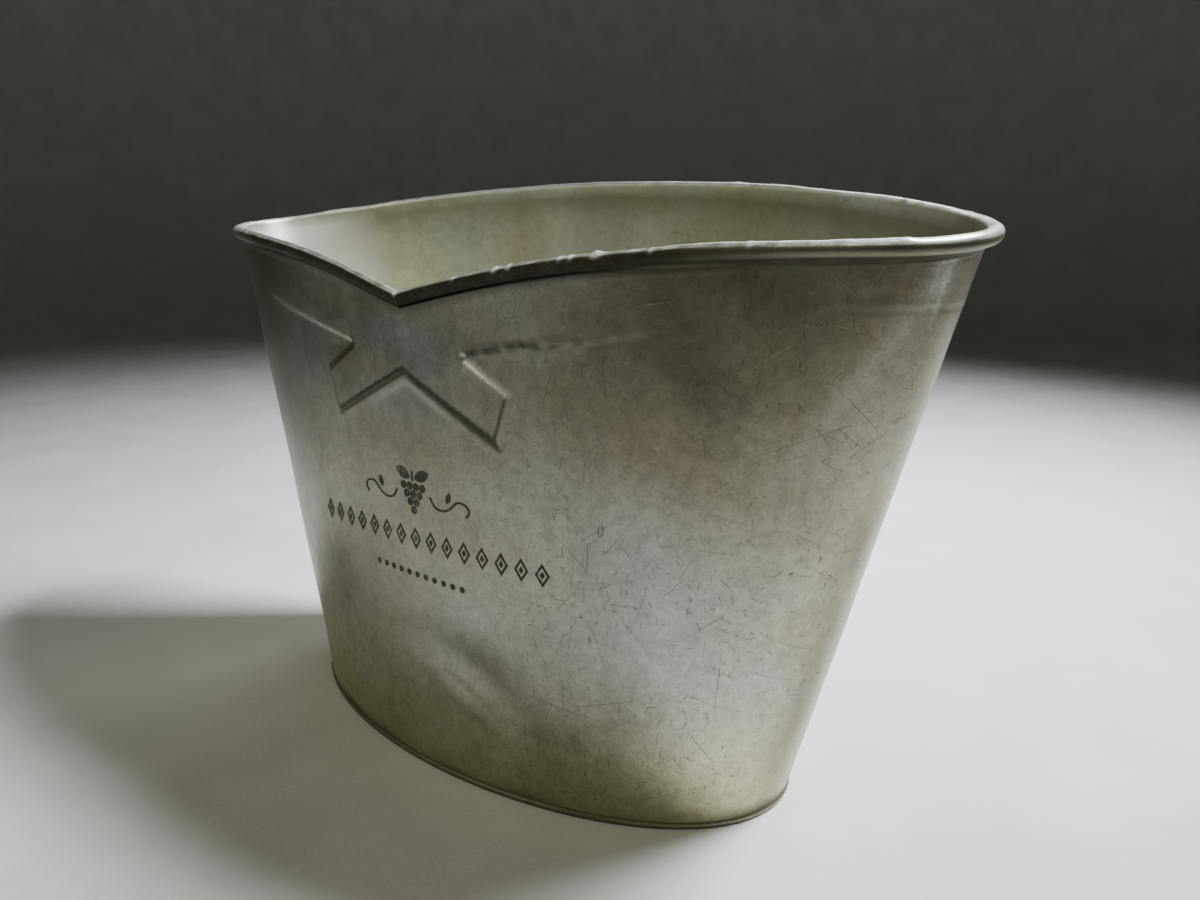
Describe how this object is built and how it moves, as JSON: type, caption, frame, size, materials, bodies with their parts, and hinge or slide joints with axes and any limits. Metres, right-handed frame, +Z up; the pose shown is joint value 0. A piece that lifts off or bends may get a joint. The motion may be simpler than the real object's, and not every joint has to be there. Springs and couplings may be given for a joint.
{
  "type": "champagne bucket",
  "caption": "Oval tapered metal champagne bucket with a V-neck front, pressed crossing collar and wired rolled rim, over a soldered flat base.",
  "frame": {"origin": "centre of the foot, on the surface it stands on", "axes": "+X along the long axis of the oval, -Y out of the V-neck front, +Z up"},
  "size_m": [0.3932, 0.1433, 0.2432],
  "materials": {
    "pewter_sheet": "aged satin pewter grey, scratched",
    "rim_wire_steel": "plain drawn wire",
    "pewter_base": "dull satin, water-stained",
    "solder": "dull cast solder",
    "dark_enamel": "worn matt printed enamel"
  },
  "bodies": {
    "root": {"bucket_wall": "pewter_sheet", "rim_wire": "rim_wire_steel", "base_plate": "pewter_base", "base_solder": "solder", "grape_sprig_enamel": "dark_enamel", "lozenge_row_enamel": "dark_enamel", "dot_row_enamel": "dark_enamel"}
  },
  "joints": []
}
